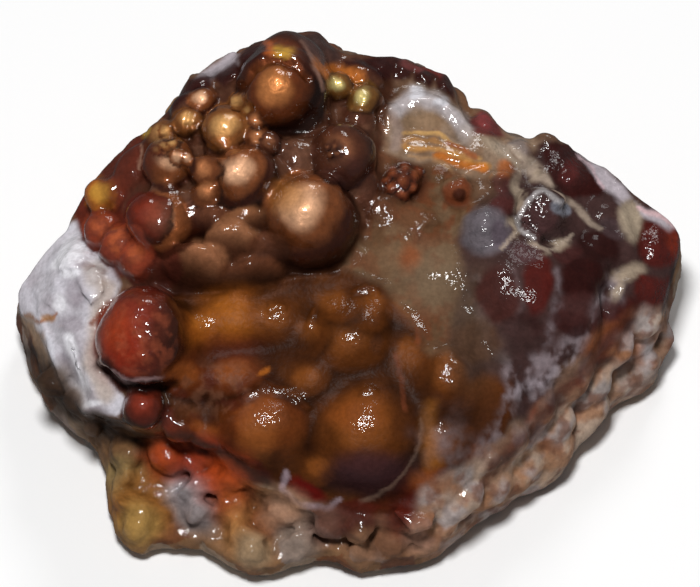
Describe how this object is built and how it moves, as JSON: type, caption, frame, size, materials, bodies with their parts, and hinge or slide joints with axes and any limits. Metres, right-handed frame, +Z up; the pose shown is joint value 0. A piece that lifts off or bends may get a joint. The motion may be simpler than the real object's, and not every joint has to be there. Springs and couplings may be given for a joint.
{
  "type": "fire agate specimen",
  "caption": "Rough mineral specimen, a crust of grape-like brown and bronze bubbles on paler chalcedony, to lay on a shelf or a table for display.",
  "frame": {"origin": "under the middle of the stone's box, on the surface that it lies on", "axes": "+X across the show face to its right, +Y to the back where the crust's rim is highest, +Z up; the show face looks up and towards -Y"},
  "size_m": [0.05, 0.0416, 0.0209],
  "materials": {
    "iron_brown_chalcedony": "natural stone, glossy where the clear chalcedony skin is wet-looking, iron brown, cherry red, amber and lilac grey with bronze bubbles, dull and paler on the matrix"
  },
  "bodies": {
    "root": {"fire_agate": "iron_brown_chalcedony"}
  },
  "joints": []
}
